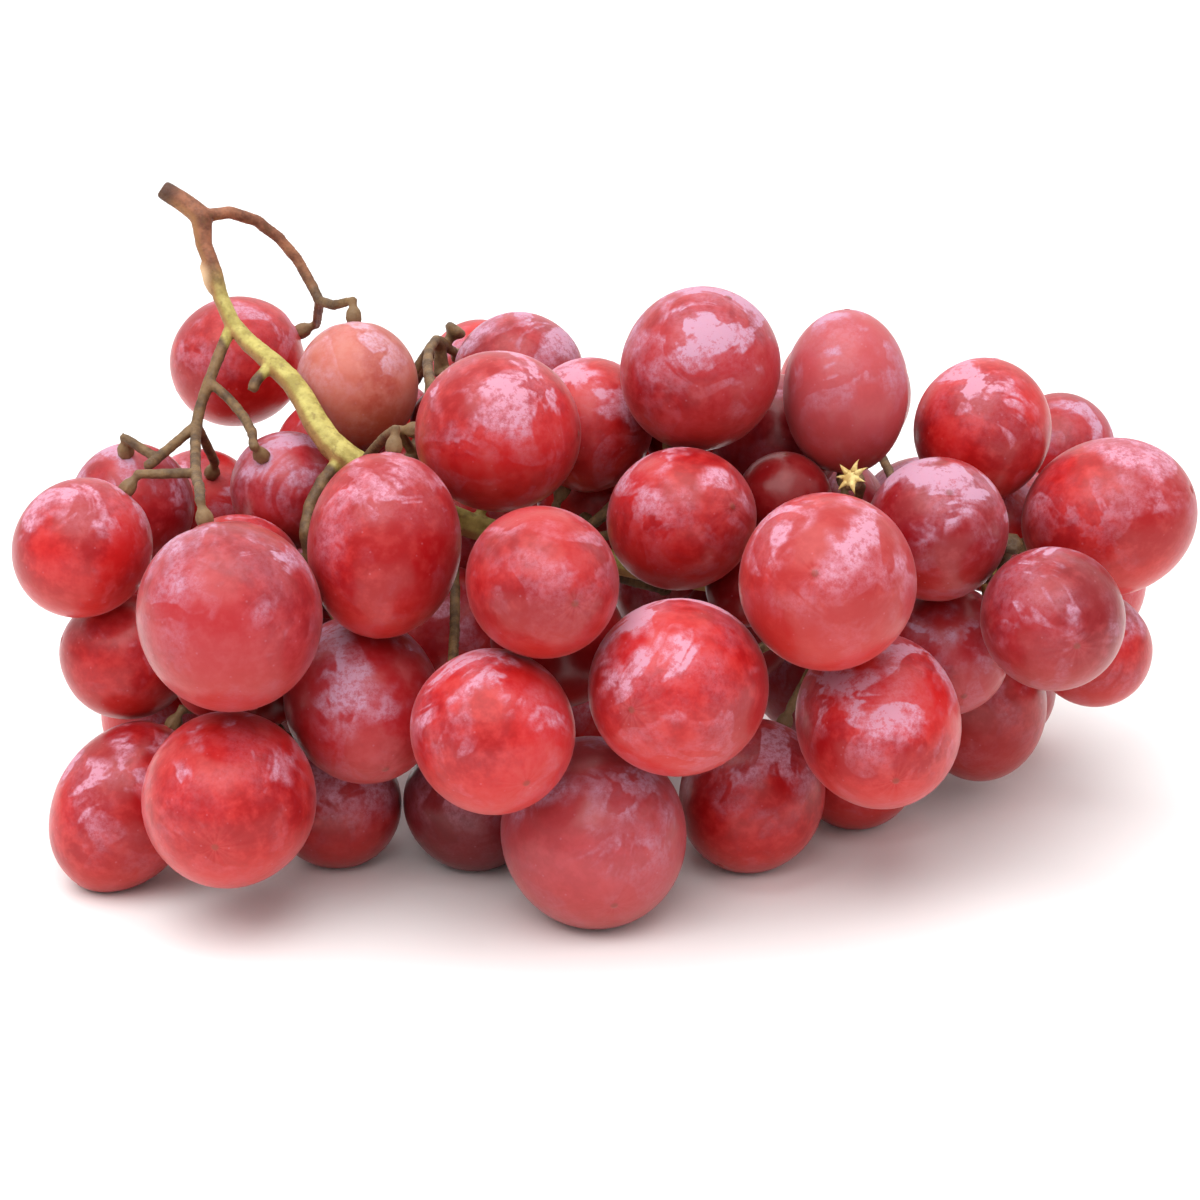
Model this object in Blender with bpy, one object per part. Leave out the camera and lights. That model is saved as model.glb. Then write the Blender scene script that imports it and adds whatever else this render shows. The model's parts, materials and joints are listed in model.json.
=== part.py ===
"""A bunch of red table grapes, picked with its stalk and lying on its side.

One object per grape, and one for the stalk, which grew as one piece: the main stalk, its
side branches and the short stalk that carries each grape. X runs along the bunch, Y goes
back and Z is up. The bunch rests on Z = 0 with the middle of its box over the origin.
"""

import heapq
import math

import bmesh
import bpy
import numpy as np
from mathutils import Matrix, Vector

MM = 0.001

# Driving dimensions, in millimetres
SKIN_GAP = 0.35  # clear space between two neighbouring grapes
FLAT_DEPTH = 0.8  # how much a grape flattens where it lies on the surface
NEAR_FLOOR = 1.8  # a grape this close to the surface comes down onto it
CUP_RADIUS = 1.9  # the swollen end of a grape's own stalk
CUP_LENGTH = 1.8
CUP_OUTLINE = ((1, 0.45), (0.62, 0.85), (0.3, 1), (0, 0.85))  # length from the grape and radius, as shares
CUP_GAP = 0.3  # clear space between that end and the grape
CAP_RADIUS = 2.1  # the small flat on a grape where its stalk meets it
NECK = 3.2  # straight run of a grape's own stalk before the grape
TWIG_RADIUS = 0.75  # a stalk that carries one grape
TWIG_GAP = 0.4  # clear space between a stalk and the grapes that it passes
USUAL_TWIG = 8.0  # usual length of a grape's own stalk
THICKENING = 0.35  # a stalk that carries n grapes is n to this power times thicker
LOWEST_TWIG = 2.0  # a twig keeps this high above the surface
FARTHEST_TWIG = 8.0  # and this near to some grape

# How the grapes make room and the twigs find their way
FIRST_ROUNDS = 400  # before the grapes turn to their stalks
LAST_ROUNDS = 500  # and after it
PULL_BACK = 0.03  # share of its way back that a grape is pulled in a round
GIVE_IN_VIEW = 0.15  # share of a push that a grape in plain view gives way to
GIVE_HIDDEN = 0.75  # and a hidden one
FACINGS = 300  # directions tried for a grape's stalk end
CELL = 1.5  # spacing of the points among which the twigs find their way
MARGIN = 20.0  # how far those points go past the outermost grapes' middles
TIGHT_WAY = 1.6  # a way costs double where the nearest skin is this near
TURN_COST = 12.0  # cost of a stalk end that faces away from the stalk
WAY_COST = 0.5  # cost of each millimetre by which its twig isn't of the usual length
TIGHT_COST = 20.0  # cost of each millimetre of room that is missing
SMOOTHING = 60  # rounds in which the twigs are drawn straight

GRAPE_SIDES = 12
GRAPE_RINGS = 6
STALK_SIDES = 8
TWIG_SIDES = 6
TWIG_STEP = 4.0  # length of one straight piece of a twig
CURVE_POINTS = 12  # points worked out between two rows of a drawn stalk
SHARP_EDGE = math.radians(50)

# Each grape: across, back and up to its middle, its width and length, and its skin.
# Those in plain view come first, and the others make room for them.
IN_VIEW = 40
GRAPES = (
    (-59, 38, 64, 21, 22, "red"),
    (-37, 14, 66, 19, 20, "peach"),
    (-20, 48, 59, 18, 19, "red"),
    (-13, 30, 64, 20, 21, "mauve"),
    (-15, -5, 65, 24, 25, "red"),
    (-2, 12, 61, 20, 21, "red"),
    (15, 1, 73, 24, 25, "mauve"),
    (37, 5, 68, 19, 25, "mauve"),
    (59, 8, 61, 21, 22, "red"),
    (75, 37, 49, 18, 19, "mauve"),
    (77, 0, 50, 24, 27, "red"),
    (50, -12, 52, 21, 23, "mauve"),
    (66, -23, 42, 21, 22, "mauve"),
    (76, 3, 27, 18, 19, "red"),
    (32, -35, 52, 25, 26, "red"),
    (12, -13, 54, 21, 24, "red"),
    (28, 18, 57, 20, 21, "mauve"),
    (-8, -41, 54, 21, 24, "red"),
    (-31, -26, 54, 22, 27, "red"),
    (-52, -38, 48, 26, 27, "mauve"),
    (-76, -16, 50, 20, 21, "red"),
    (-72, 8, 49, 19, 20, "mauve"),
    (-70, -11, 33, 19, 20, "red"),
    (-65, 23, 43, 19, 20, "red"),
    (-48, 6, 52, 18, 19, "mauve"),
    (-53, -38, 20, 25, 27, "red"),
    (-71, -22, 12, 21, 27, "red"),
    (-68, 3, 17, 20, 21, "red"),
    (-35, -24, 30, 23, 26, "mauve"),
    (-40, -15, 9, 20, 21, "red"),
    (-15, -44, 33, 23, 24, "red"),
    (11, -40, 38, 25, 27, "red"),
    (-20, -16, 9, 20, 21, "red"),
    (-1, -34, 13, 27, 29, "mauve"),
    (23, -16, 11, 22, 24, "red"),
    (41, -27, 28, 24, 29, "red"),
    (61, 8, 16, 21, 26, "red"),
    (66, 31, 10, 20, 21, "red"),
    (52, -7, 31, 20, 21, "mauve"),
    (40, -1, 10, 20, 21, "red"),
    (-37, 43, 49, 20, 21, "red"),
    (-40, 28, 54, 20, 21, "red"),
    (-20, 17, 43, 21, 22, "red"),
    (0, 25, 44, 21, 22, "red"),
    (-24, 0, 31, 21, 22, "red"),
    (37, 29, 42, 20, 21, "mauve"),
    (65, 18, 43, 21, 22, "red"),
    (14, 42, 56, 24, 26, "red"),
    (54, 42, 34, 24, 25, "mauve"),
    (14, 33, 27, 24, 25, "red"),
    (40, 42, 56, 22, 23, "red"),
    (-6, 47, 40, 24, 25, "mauve"),
    (-44, 27, 28, 24, 25, "red"),
    (36, 28, 15, 24, 25, "mauve"),
    (0, 17, 11, 24, 25, "red"),
    (78, 27, 30, 21, 22, "red"),
    (-20, 35, 23, 24, 25, "red"),
    (-53, -9, 42, 20, 21, "red"),
    (-74, 15, 30, 18, 19, "red"),
)

# Each stalk that was drawn by hand: across, back, up and thickness at points along it
MAIN_STALK = (
    (-68, 26, 95, 2.8),
    (-65, 26, 93, 3.0),
    (-62, 25, 91, 3.6),
    (-62, 24, 88, 2.6),
    (-60, 22, 83, 2.4),
    (-58, 19, 77, 2.4),
    (-54, 15, 73, 2.8),
    (-50, 11, 71, 3.2),
    (-46, 7, 68, 3.5),
    (-42, 1, 63, 4.0),
    (-38, -2, 60, 4.2),
    (-31, -1, 55, 4.2),
    (-21, 3, 48, 4.0),
    (-9, 5, 44, 3.8),
    (9, 3, 40, 3.5),
    (28, 1, 38, 3.1),
    (46, 1, 40, 2.6),
    (61, 3, 39, 2.1),
)
ARCH = (
    (-62, 25, 91, 2.2),
    (-57, 27, 91, 2.0),
    (-52, 29, 88, 1.8),
    (-47, 29, 82, 1.7),
    (-44, 26, 77, 1.6),
    (-40, 20, 78, 1.5),
)
LEFT_BRANCH = (
    (-57, 18, 76, 2.0),
    (-59, 15, 71, 1.8),
    (-61, 11, 66, 1.7),
    (-62, 9, 62, 1.7),
    (-61, -1, 60, 1.6),
    (-59, -15, 61, 1.5),
    (-57, -26, 63, 1.5),
)
LEFT_TWIG = (
    (-62, 9, 62, 1.5),
    (-65, 5, 60, 1.5),
    (-68, -3, 59, 1.5),
)
MIDDLE_TWIG = (
    (-60, 13, 68, 1.5),
    (-56, 9, 65, 1.5),
    (-53, 4, 63, 1.5),
)
SHORT_STUB = (
    (-50, 11, 71, 1.8),
    (-52, 9, 70, 1.7),
    (-53, 7, 68, 1.6),
)
LOW_BRANCH = (
    (-39, -2, 60, 2.4),
    (-43, -6, 55, 2.0),
    (-44, -10, 50, 1.8),
    (-43, -8, 43, 1.8),
    (-44, -5, 35, 1.7),
    (-48, -6, 27, 1.6),
    (-53, -8, 21, 1.5),
)
TOP_BRANCH = (
    (-31, -1, 55, 2.4),
    (-27, 4, 62, 2.0),
    (-26, 10, 67, 1.8),
    (-27, 20, 68, 1.6),
    (-27, 29, 69, 1.5),
    (-26, 34, 69, 1.5),
)
DRAWN_STALKS = (
    MAIN_STALK,
    ARCH,
    LEFT_BRANCH,
    LEFT_TWIG,
    MIDDLE_TWIG,
    SHORT_STUB,
    LOW_BRANCH,
    TOP_BRANCH,
)

# Where the stalk end of a grape faces, for those whose stalk shows: across, back, up
FACING = {
    1: (0.90, 0.15, 0.40),
    2: (-0.05, 0.35, 0.94),
    19: (0.10, 0.30, 0.95),
    20: (-0.25, 0.35, 0.90),
    21: (0.60, 0.25, 0.75),
    25: (-0.33, -0.58, 0.73),
    27: (0.50, 0.35, 0.80),
}

# Bare ends whose grape is gone: the cup's middle, and where it faces
BARE_ENDS = (
    ((37, -12, 60), (-0.5, -0.6, 0.6)),
    ((-23, 37, 70), (0.6, 0.2, 0.8)),
    ((62, -6, 48), (0.1, -0.7, 0.7)),
)

SKIN_COLOURS = {
    "red": (0.42, 0.045, 0.075),
    "mauve": (0.50, 0.20, 0.27),
    "peach": (0.62, 0.26, 0.20),
}
STALK_COLOUR = (0.42, 0.34, 0.11)


class Bunch:
    """The grapes as arrays: middles, axes from the stalk end to the far end, half sizes."""

    def __init__(self, rows):
        sizes = np.array([row[:5] for row in rows], float)
        self.middles = sizes[:, :3]
        self.half_widths = sizes[:, 3] / 2
        self.half_lengths = sizes[:, 4] / 2
        self.axes = np.tile([0.0, 0.0, -1.0], (len(rows), 1))
        self.give = np.where(np.arange(len(rows)) < IN_VIEW, GIVE_IN_VIEW, GIVE_HIDDEN)

    def reach(self, directions, axes):
        """How far each grape reaches from its middle along its direction."""
        along = (directions * axes).sum(-1) ** 2
        wide = (self.half_widths**2)[:, None] if along.ndim == 2 else self.half_widths**2
        long = (self.half_lengths**2)[:, None] if along.ndim == 2 else self.half_lengths**2
        return np.sqrt(wide * (1 - along) + long * along)

    def room(self, points, without=None):
        """The distance from each point to the nearest skin, towards that grape's middle."""
        nearest = np.full(len(points), np.inf)
        owner = np.zeros(len(points), int)
        for i, middle in enumerate(self.middles):
            if i == without:
                continue
            offset = points - middle
            along = offset @ self.axes[i]
            apart = (offset**2).sum(1)
            across = np.maximum(apart - along**2, 0)
            share = np.sqrt(across / self.half_widths[i] ** 2 + along**2 / self.half_lengths[i] ** 2)
            share = np.maximum(share, 1e-6)
            distance = np.sqrt(apart) * (1 - 1 / share)
            closer = distance < nearest
            nearest[closer] = distance[closer]
            owner[closer] = i
        return nearest, owner

    def stalk_ends(self, out):
        """The point this far outside each grape's stalk end."""
        return self.middles - self.axes * (self.half_lengths[:, None] + out)


def unit(vectors):
    return vectors / np.linalg.norm(vectors, axis=-1, keepdims=True)


def smooth_line(rows, step):
    """Points at even steps along a smooth curve through the rows, with the thickness carried."""
    rows = np.array(rows, float)
    ends = np.concatenate([2 * rows[:1] - rows[1:2], rows, 2 * rows[-1:] - rows[-2:-1]])
    fine = []
    for a, b, c, d in zip(ends, ends[1:], ends[2:], ends[3:]):
        for t in np.linspace(0, 1, CURVE_POINTS, endpoint=False):
            fine.append(
                b
                + 0.5 * t * (c - a)
                + t**2 * (a - 2.5 * b + 2 * c - 0.5 * d)
                + t**3 * (1.5 * (b - c) + 0.5 * (d - a))
            )
    fine = np.array(fine + [rows[-1]])
    run = np.concatenate([[0], np.cumsum(np.linalg.norm(np.diff(fine[:, :3], axis=0), axis=1))])
    stops = np.linspace(0, run[-1], max(2, round(run[-1] / step) + 1))
    return np.stack([np.interp(stops, run, fine[:, k]) for k in range(4)], axis=1)


def settle(bunch, stalk_points, rounds):
    """Moves grapes apart, clear of the stalks and of each other's stalk ends, and off the floor."""
    start = bunch.middles.copy()
    up = np.array([0.0, 0.0, 1.0])
    others = ~np.eye(len(start), dtype=bool)
    for turn in range(rounds):
        push = PULL_BACK * max(0, 1 - 2 * turn / rounds) * (start - bunch.middles)
        offset = bunch.middles[:, None] - bunch.middles[None]
        distance = np.linalg.norm(offset, axis=-1) + np.eye(len(start))
        normal = offset / distance[..., None]
        mine = bunch.reach(normal, bunch.axes[:, None])
        lack = np.clip(mine + mine.T + SKIN_GAP - distance, 0, None) * others
        push += (0.5 * lack[..., None] * normal).sum(1)

        for out, radius in ((CUP_LENGTH / 2, CUP_RADIUS), (NECK, TWIG_RADIUS)):
            balls = bunch.stalk_ends(out)
            offset = bunch.middles[:, None] - balls[None]
            distance = np.linalg.norm(offset, axis=-1)
            normal = offset / distance[..., None]
            mine = bunch.reach(normal, bunch.axes[:, None])
            lack = np.clip(mine + radius + TWIG_GAP - distance, 0, None) * others
            push += (0.5 * lack[..., None] * normal).sum(1)
            push -= (0.5 * lack[..., None] * normal).sum(0)

        offset = bunch.middles[:, None] - stalk_points[None, :, :3]
        distance = np.linalg.norm(offset, axis=-1)
        normal = offset / distance[..., None]
        mine = bunch.reach(normal, bunch.axes[:, None])
        lack = np.clip(mine + stalk_points[:, 3] / 2 + TWIG_GAP - distance, 0, None)
        deepest = lack.argmax(1)
        rows = np.arange(len(start))
        push += lack[rows, deepest][:, None] * normal[rows, deepest]

        low = bunch.middles[:, 2] - bunch.reach(up, bunch.axes)
        sinking = low < NEAR_FLOOR
        push[sinking, 2] += 0.5 * (-FLAT_DEPTH - low[sinking])
        bunch.middles = bunch.middles + bunch.give[:, None] * push


def even_directions(count):
    """Directions spread evenly over a sphere."""
    k = np.arange(count) + 0.5
    up = 1 - 2 * k / count
    turn = k * math.pi * (1 + math.sqrt(5))
    flat = np.sqrt(1 - up**2)
    return np.stack([flat * np.cos(turn), flat * np.sin(turn), up], axis=1)


class Gaps:
    """The free space among the grapes as a grid of cells, and the shortest ways through it."""

    def __init__(self, bunch, stalk_points):
        self.low = bunch.middles.min(0) - MARGIN
        high = bunch.middles.max(0) + MARGIN
        self.shape = np.ceil((high - self.low) / CELL).astype(int)
        places = np.indices(self.shape).reshape(3, -1).T
        points = self.low + CELL * places
        room, _ = bunch.room(points)
        free = (room > TWIG_RADIUS + TWIG_GAP) & (room < FARTHEST_TWIG) & (points[:, 2] > LOWEST_TWIG)
        free = free.reshape(self.shape)
        free[[0, -1]] = free[:, [0, -1]] = free[:, :, [0, -1]] = False
        self.free = free.reshape(-1)
        self.weight = 1 + (TIGHT_WAY / np.maximum(room, 0.5)) ** 2
        self.strides = np.array([self.shape[1] * self.shape[2], self.shape[2], 1])
        self.search(stalk_points)

    def cell(self, point):
        return int(np.rint((point - self.low) / CELL).astype(int) @ self.strides)

    def point(self, cell):
        return self.low + CELL * np.array(np.unravel_index(cell, self.shape))

    def search(self, stalk_points):
        """The length of the shortest way from the stalks to every cell, and the way back."""
        steps = [
            (int(np.array(step) @ self.strides), CELL * math.hypot(*step))
            for step in np.ndindex(3, 3, 3)
            for step in [np.array(step) - 1]
            if np.any(step)
        ]
        free = self.free.tolist()
        weight = self.weight.tolist()
        length = [math.inf] * len(free)
        self.came_from = {}
        queue = []
        for k, row in enumerate(stalk_points):
            cell = self.cell(row[:3])
            if free[cell] and length[cell] > 0:
                length[cell] = 0.0
                self.came_from[cell] = -1 - k
                queue.append((0.0, cell))
        heapq.heapify(queue)
        while queue:
            done, cell = heapq.heappop(queue)
            if done > length[cell]:
                continue
            for step, run in steps:
                beside = cell + step
                if not free[beside]:
                    continue
                new = done + run * weight[beside]
                if new < length[beside]:
                    length[beside] = new
                    self.came_from[beside] = cell
                    heapq.heappush(queue, (new, beside))
        self.length = np.array(length)

    def way(self, cell):
        """The cells from here back to a stalk, and the number of the stalk point there."""
        cells = [cell]
        while self.came_from[cells[-1]] >= 0:
            cells.append(self.came_from[cells[-1]])
        return cells, -1 - self.came_from[cells[-1]]


def turn_to_stalk(bunch, gaps, stalk_points):
    """Turns each grape so that a stalk can reach its end through the gaps."""
    tries = even_directions(FACINGS)
    for i, middle in enumerate(bunch.middles):
        if i + 1 in FACING:
            bunch.axes[i] = -unit(np.array(FACING[i + 1]))
            continue
        nearest = np.linalg.norm(stalk_points[:, :3] - middle, axis=1).argmin()
        wanted = unit(stalk_points[nearest, :3] - middle)
        cups = middle + tries * (bunch.half_lengths[i] + CUP_LENGTH / 2)
        necks = middle + tries * (bunch.half_lengths[i] + NECK)
        cup_room = bunch.room(cups, i)[0] - CUP_RADIUS - TWIG_GAP
        neck_room = bunch.room(necks, i)[0] - TWIG_RADIUS - TWIG_GAP
        cells = [gaps.cell(neck) for neck in necks]
        ways = gaps.length[cells]
        cost = (
            TURN_COST * (1 - tries @ wanted)
            + WAY_COST * np.abs(np.minimum(ways, 1e3) - USUAL_TWIG)
            + TIGHT_COST * np.clip(-cup_room, 0, None)
            + TIGHT_COST * np.clip(-neck_room, 0, None)
        )
        bunch.axes[i] = -tries[cost.argmin()]


class Twigs:
    """The stalks as a tree of places, each with its parent, thickness and grapes beyond it."""

    def __init__(self, bunch, gaps, lines):
        self.places = []
        self.parents = []
        self.fixed = []
        self.drawn_radii = []
        for line in lines:
            for k, row in enumerate(line):
                self.add(row[:3], len(self.places) - 1 if k else self.nearest(row[:3]), True, row[3] / 2)
        self.tips = []
        at_cell = {}
        ends = list(zip(bunch.stalk_ends(NECK), -bunch.axes, bunch.stalk_ends(CUP_GAP)))
        for middle, facing in BARE_ENDS:
            facing = -unit(np.array(facing, float))
            ends.append((np.array(middle) + facing * NECK, facing, np.array(middle, float)))
        for neck, outward, cup in ends:
            cells, stalk_point = gaps.way(gaps.cell(neck))
            parent = stalk_point
            for cell in reversed(cells[1:]):
                if cell not in at_cell:
                    at_cell[cell] = self.add(gaps.point(cell), parent, False, 0)
                parent = at_cell[cell]
            tip = self.add(neck, parent, True, 0)
            self.tips.append((tip, outward, cup))

    def add(self, place, parent, fixed, radius):
        self.places.append(np.array(place, float))
        self.parents.append(parent)
        self.fixed.append(fixed)
        self.drawn_radii.append(radius)
        return len(self.places) - 1

    def nearest(self, place):
        """The place already there that is nearest, or -1 for the first."""
        if not self.places:
            return -1
        return int(np.linalg.norm(np.array(self.places) - place, axis=1).argmin())

    def finish(self, bunch):
        """Counts the grapes beyond each place, sets the radii, and draws the twigs smooth."""
        places = np.array(self.places)
        parents = np.array(self.parents)
        fixed = np.array(self.fixed)
        self.load = np.zeros(len(places))
        for tip, _, _ in self.tips:
            while tip >= 0:
                self.load[tip] += 1
                tip = parents[tip]
        grown = TWIG_RADIUS * np.maximum(self.load, 1) ** THICKENING
        self.radii = np.where(fixed, self.drawn_radii, grown)
        self.radii[[tip for tip, _, _ in self.tips]] = TWIG_RADIUS
        children = np.bincount(parents[1:], minlength=len(places))
        has_child = children > 0
        free = ~fixed & has_child
        for _ in range(SMOOTHING):
            below = np.zeros_like(places)
            np.add.at(below, parents[1:], places[1:])
            below[has_child] /= children[has_child, None]
            middle = (places[parents] + below) / 2
            places[free] += 0.5 * (middle - places)[free]
            room, owner = bunch.room(places)
            lack = np.clip(self.radii + TWIG_GAP - room, 0, None)
            outward = unit(places - bunch.middles[owner])
            places[free] += (lack[:, None] * outward)[free]
        room, _ = bunch.room(places)
        self.radii = np.where(fixed, self.radii, np.clip(room - TWIG_GAP, 0.5, self.radii))
        self.places = places
        self.parents = parents

    def chains(self):
        """Each twig as a run of places, from its root on a thicker one out to its end."""
        children = {}
        for k, parent in enumerate(self.parents):
            children.setdefault(int(parent), []).append(k)
        starts = [(-1, 0)]
        while starts:
            root, place = starts.pop()
            run = [root] if root >= 0 else []
            while True:
                run.append(place)
                beyond = children.get(place, [])
                beyond.sort(key=lambda k: (self.is_line(place, k), self.load[k]))
                if not beyond:
                    break
                starts += [(place, k) for k in beyond[:-1]]
                place = beyond[-1]
            yield run

    def is_line(self, place, child):
        """Whether a hand-drawn stalk goes on from this place to this child."""
        return bool(self.drawn_radii[place] and self.drawn_radii[child] and child == place + 1)


def thinned(run, places, forks, step):
    """The run with places dropped where they lie closer together than the step, but no fork."""
    kept = [run[0]]
    for k in run[1:-1]:
        if k in forks or np.linalg.norm(places[k] - places[kept[-1]]) >= step:
            kept.append(k)
    too_close = np.linalg.norm(places[run[-1]] - places[kept[-1]]) < step / 2
    if len(kept) > 2 and too_close and kept[-1] not in forks:
        kept.pop()
    return kept + [run[-1]]


def new_material(name, colour, roughness):
    material = bpy.data.materials.new(name)
    material.use_nodes = True
    shader = material.node_tree.nodes["Principled BSDF"]
    shader.inputs["Base Color"].default_value = (*colour, 1)
    shader.inputs["Roughness"].default_value = roughness
    material.diffuse_color = (*colour, 1)
    return material


def new_object(name, mesh_data, material):
    mesh = bpy.data.meshes.new(name)
    mesh_data.to_mesh(mesh)
    mesh_data.free()
    mesh.materials.append(material)
    mesh.shade_smooth()
    mesh.set_sharp_from_angle(angle=SHARP_EDGE)
    obj = bpy.data.objects.new(name, mesh)
    bpy.context.collection.objects.link(obj)
    return obj


def grape_mesh(width, length, axis):
    """A grape round its middle: rings from a small flat at the stalk end to the far end."""
    outline = bmesh.new()
    first = math.asin(CAP_RADIUS / (width / 2))
    rings = []
    down = Vector((0, 0, -1))
    side = (down - axis * down.dot(axis)).normalized()
    turned = Matrix((side, axis.cross(side), axis)).transposed()
    for k in range(GRAPE_RINGS):
        angle = first + (math.pi - first) * k / GRAPE_RINGS
        radius, along = width / 2 * math.sin(angle), -length / 2 * math.cos(angle)
        ring = []
        for turn in range(GRAPE_SIDES):
            around = 2 * math.pi * turn / GRAPE_SIDES
            place = Vector((radius * math.cos(around), radius * math.sin(around), along))
            ring.append(outline.verts.new(turned @ place * MM))
        rings.append(ring)
    far_end = outline.verts.new(axis * (length / 2 * MM))
    outline.faces.new(reversed(rings[0]))
    for low, high in zip(rings, rings[1:]):
        for k in range(GRAPE_SIDES):
            after = (k + 1) % GRAPE_SIDES
            outline.faces.new((low[k], low[after], high[after], high[k]))
    for k in range(GRAPE_SIDES):
        outline.faces.new((rings[-1][k], rings[-1][(k + 1) % GRAPE_SIDES], far_end))
    return outline


def flatten_on_floor(mesh_data):
    """Cuts off what is below the floor and closes the flat spot."""
    everything = mesh_data.verts[:] + mesh_data.edges[:] + mesh_data.faces[:]
    cut = bmesh.ops.bisect_plane(
        mesh_data, geom=everything, plane_co=(0, 0, 0), plane_no=(0, 0, -1), clear_outer=True
    )
    rim = [edge for edge in cut["geom_cut"] if isinstance(edge, bmesh.types.BMEdge)]
    if rim:
        bmesh.ops.contextual_create(mesh_data, geom=rim)


def tube_mesh(places, radii, sides, last_way=None):
    """A closed round tube through the places, with a radius at each."""
    tube = bmesh.new()
    places = [Vector(place) for place in places]
    ways = [(b - a).normalized() for a, b in zip(places, places[1:])]
    side = ways[0].orthogonal().normalized()
    rings = []
    for k, (place, radius) in enumerate(zip(places, radii)):
        before, after = ways[max(k - 1, 0)], ways[min(k, len(ways) - 1)]
        way = (before + after).normalized()
        if last_way is not None and k == len(places) - 1:
            way = Vector(last_way)
        side = (side - way * side.dot(way)).normalized()
        across = way.cross(side)
        ring = []
        for turn in range(sides):
            around = 2 * math.pi * turn / sides
            offset = side * math.cos(around) + across * math.sin(around)
            ring.append(tube.verts.new((place + offset * radius) * MM))
        rings.append(ring)
    tube.faces.new(reversed(rings[0]))
    tube.faces.new(rings[-1])
    for low, high in zip(rings, rings[1:]):
        for k in range(sides):
            after = (k + 1) % sides
            tube.faces.new((low[k], low[after], high[after], high[k]))
    return tube


def build_grapes(bunch):
    for number, (row, middle, axis) in enumerate(zip(GRAPES, bunch.middles, bunch.axes), 1):
        name = f"grape_{number:02d}"
        mesh_data = grape_mesh(row[3], row[4], Vector(axis))
        bmesh.ops.translate(mesh_data, verts=mesh_data.verts, vec=Vector(middle) * MM)
        flatten_on_floor(mesh_data)
        new_object(name, mesh_data, new_material(name, SKIN_COLOURS[row[5]], 0.35))


def build_stalk(twigs):
    """The whole stalk as one solid: every branch and twig joined to the main stalk."""
    material = new_material("stalk", STALK_COLOUR, 0.6)
    cups = {tip: (outward, cup) for tip, outward, cup in twigs.tips}
    pieces = []
    runs = list(twigs.chains())
    forks = {run[0] for run in runs}
    for number, run in enumerate(runs):
        drawn = twigs.drawn_radii[run[-1]] > 0 or number == 0
        kept = thinned(run, twigs.places, forks, TWIG_STEP)
        places = [Vector(twigs.places[k]) for k in kept]
        radii = [twigs.radii[k] for k in kept]
        if len(radii) > 1 and run[0] != 0:
            radii[0] = min(radii[0], radii[1])
        last_way = None
        if run[-1] in cups:
            outward, cup = cups[run[-1]]
            outward = Vector(outward)
            cup = Vector(cup)
            places += [cup + outward * CUP_LENGTH * share for share, _ in CUP_OUTLINE]
            radii += [CUP_RADIUS * share for _, share in CUP_OUTLINE]
            last_way = -outward
        sides = STALK_SIDES if drawn else TWIG_SIDES
        pieces.append(new_object(f"piece_{number}", tube_mesh(places, radii, sides, last_way), material))
    stalk = pieces[0]
    stalk.name = stalk.data.name = "stalk"
    others = bpy.data.collections.new("twigs")
    for piece in pieces[1:]:
        others.objects.link(piece)
    union = stalk.modifiers.new("join", "BOOLEAN")
    union.operation = "UNION"
    union.operand_type = "COLLECTION"
    union.collection = others
    union.solver = "MANIFOLD"
    bpy.context.view_layer.objects.active = stalk
    bpy.ops.object.modifier_apply(modifier=union.name)
    for piece in pieces[1:]:
        bpy.data.objects.remove(piece)
    bpy.data.collections.remove(others)


def stand_over_origin():
    """Moves everything so that the middle of the box's floor is at the origin."""
    corners = np.array([vertex.co for obj in bpy.data.objects for vertex in obj.data.vertices])
    low, high = corners.min(0), corners.max(0)
    shift = Vector((-(low[0] + high[0]) / 2, -(low[1] + high[1]) / 2, -low[2]))
    for obj in bpy.data.objects:
        obj.data.transform(Matrix.Translation(shift))


def main():
    for obj in list(bpy.data.objects):
        bpy.data.objects.remove(obj)
    bunch = Bunch(GRAPES)
    lines = [smooth_line(rows, CELL) for rows in DRAWN_STALKS]
    stalk_points = np.concatenate(lines)
    for i, middle in enumerate(bunch.middles):
        nearest = np.linalg.norm(stalk_points[:, :3] - middle, axis=1).argmin()
        bunch.axes[i] = unit(middle - stalk_points[nearest, :3])
    settle(bunch, stalk_points, FIRST_ROUNDS)
    turn_to_stalk(bunch, Gaps(bunch, stalk_points), stalk_points)
    settle(bunch, stalk_points, LAST_ROUNDS)
    twigs = Twigs(bunch, Gaps(bunch, stalk_points), lines)
    twigs.finish(bunch)
    build_grapes(bunch)
    build_stalk(twigs)
    stand_over_origin()


main()
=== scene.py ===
# %% [markdown]
# A bunch of red table grapes lies on its side. Every grape is a separate fruit on its own short stalk, and all
# the stalks grew as one woody piece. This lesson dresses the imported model: it loads the plain solids, measures
# each one, and puts a finer grape or stalk in its place. Nothing is fitted by eye, because the finer pieces take
# their places and sizes from the solids.

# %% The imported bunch
import json
import math

import bpy
import numpy as np
from mathutils import Matrix, Vector


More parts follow.
